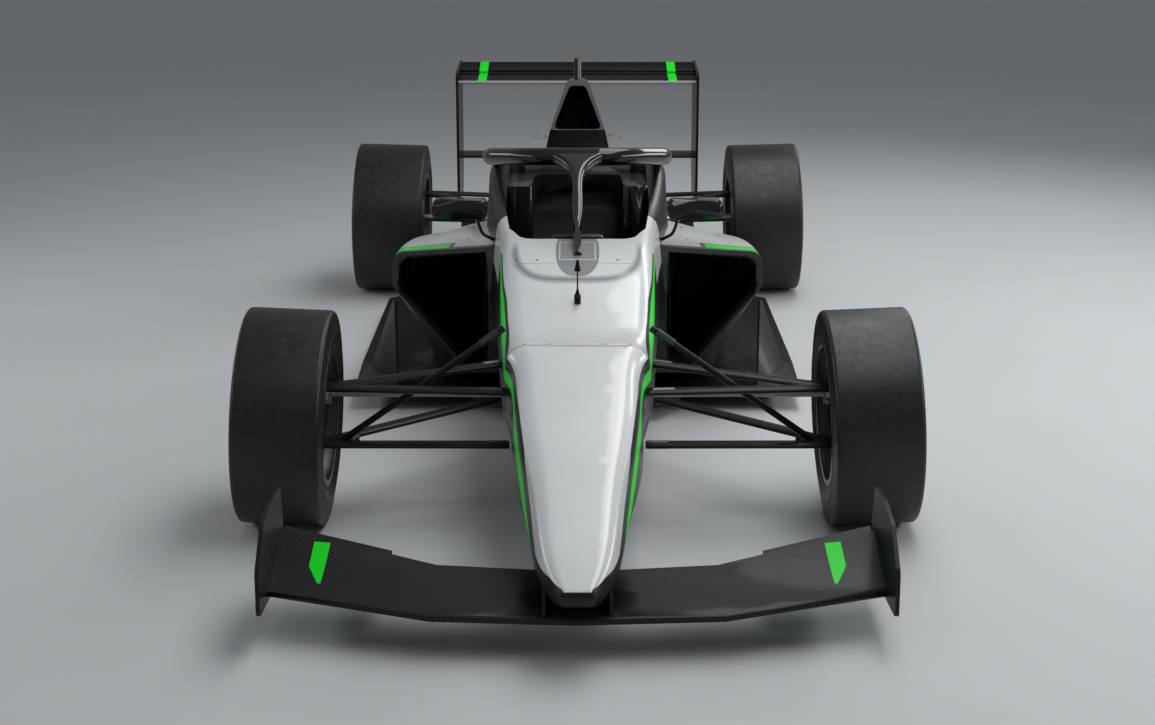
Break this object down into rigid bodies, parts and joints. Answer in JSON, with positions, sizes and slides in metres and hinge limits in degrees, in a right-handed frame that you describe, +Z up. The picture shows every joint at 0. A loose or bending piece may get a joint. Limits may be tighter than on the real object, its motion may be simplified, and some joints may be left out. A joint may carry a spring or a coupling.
{
  "type": "open wheel racing car",
  "caption": "Open wheel single seat racing car with halo, nose and rear wings, sidepods, pushrod suspension, steering and slick wheels.",
  "frame": {"origin": "on the ground, midway along and across the car", "axes": "+Z up, the nose points along -Y, the car's left side is +X"},
  "size_m": [1.7296, 4.3, 0.998],
  "materials": {
    "body_paint": "satin silver-white lacquer",
    "carbon": "clear-coated carbon weave",
    "gloss_black": "gloss black lacquer",
    "tyre_rubber": "matte slick rubber",
    "rim_metal": "satin dark grey",
    "brake_steel": "machined",
    "upright_alloy": "machined",
    "gearbox_alloy": "cast",
    "engine_iron": "cast",
    "exhaust_steel": "heat tinted",
    "seat_shell": "bare carbon shell",
    "foam": "dense foam",
    "steel": "satin",
    "grip": "suede-like grip"
  },
  "bodies": {
    "chassis": {"survival_cell": "body_paint", "nose_box": "body_paint", "front_wing": "carbon", "front_wing_endplate_left": "carbon", "front_wing_endplate_right": "carbon", "halo": "gloss_black", "headrest": "foam", "seat": "seat_shell", "steering_column": "steel", "engine_cover": "body_paint", "sidepod_left": "body_paint", "sidepod_right": "body_paint", "floor": "carbon", "rear_wing": "gloss_black", "rear_wing_endplate_left": "gloss_black", "rear_wing_endplate_right": "gloss_black", "beam_wing": "carbon", "gearbox": "gearbox_alloy", "engine": "engine_iron", "exhaust": "exhaust_steel", "mirror_left": "gloss_black", "mirror_right": "gloss_black", "pressure_probe": "steel", "front_lower_links_left": "carbon", "front_upper_links_left": "carbon", "rear_lower_links_left": "gloss_black", "rear_upper_links_left": "gloss_black", "upright_rear_left": "upright_alloy", "front_lower_links_right": "carbon", "front_upper_links_right": "carbon", "rear_lower_links_right": "gloss_black", "rear_upper_links_right": "gloss_black", "upright_rear_right": "upright_alloy"},
    "knuckle_left": {"upright_front_left": "upright_alloy"},
    "knuckle_right": {"upright_front_right": "upright_alloy"},
    "rack": {"steering_rack": "steel"},
    "hand_wheel": {"steering_wheel": "grip"},
    "wheel_front_left": {"tyre_front_left": "tyre_rubber", "rim_front_left": "rim_metal", "brake_hub_front_left": "brake_steel"},
    "wheel_rear_left": {"tyre_rear_left": "tyre_rubber", "rim_rear_left": "rim_metal", "brake_hub_rear_left": "brake_steel"},
    "wheel_front_right": {"tyre_front_right": "tyre_rubber", "rim_front_right": "rim_metal", "brake_hub_front_right": "brake_steel"},
    "wheel_rear_right": {"tyre_rear_right": "tyre_rubber", "rim_rear_right": "rim_metal", "brake_hub_rear_right": "brake_steel"}
  },
  "joints": [
    {"name": "steer_left", "type": "hinge", "parent": "chassis", "child": "knuckle_left", "pos_m": [0.678, -1.158, 0.205], "axis": [-0.1079, 0.0809, 0.9909], "range_deg": [-16, 16]},
    {"name": "steer_right", "type": "hinge", "parent": "chassis", "child": "knuckle_right", "pos_m": [-0.678, -1.158, 0.205], "axis": [0.1079, 0.0809, 0.9909], "range_deg": [-16, 16]},
    {"name": "spin_front_left", "type": "hinge", "parent": "knuckle_left", "child": "wheel_front_left", "pos_m": [0.738, -1.15, 0.27829], "axis": [0.999, 0, 0.0436], "continuous": true},
    {"name": "spin_rear_left", "type": "hinge", "parent": "chassis", "child": "wheel_rear_left", "pos_m": [0.722, 1.6, 0.28508], "axis": [0.9997, 0, 0.0262], "continuous": true},
    {"name": "spin_front_right", "type": "hinge", "parent": "knuckle_right", "child": "wheel_front_right", "pos_m": [-0.738, -1.15, 0.27829], "axis": [0.999, 0, -0.0436], "continuous": true},
    {"name": "spin_rear_right", "type": "hinge", "parent": "chassis", "child": "wheel_rear_right", "pos_m": [-0.722, 1.6, 0.28508], "axis": [0.9997, 0, -0.0262], "continuous": true},
    {"name": "rack_slide", "type": "slide", "parent": "chassis", "child": "rack", "axis": [1, 0, 0], "range_m": [-0.026, 0.026]},
    {"name": "hand_wheel_turn", "type": "hinge", "parent": "chassis", "child": "hand_wheel", "pos_m": [0, -0.41, 0.525], "axis": [0, 0.9675, 0.2529], "range_deg": [-170, 170]}
  ],
  "couplings": [
    {"joint": "steer_right", "follows": "steer_left", "ratio": 1},
    {"joint": "rack_slide", "follows": "steer_left", "m_per_rad": -0.08883},
    {"joint": "hand_wheel_turn", "follows": "steer_left", "ratio": 10}
  ]
}
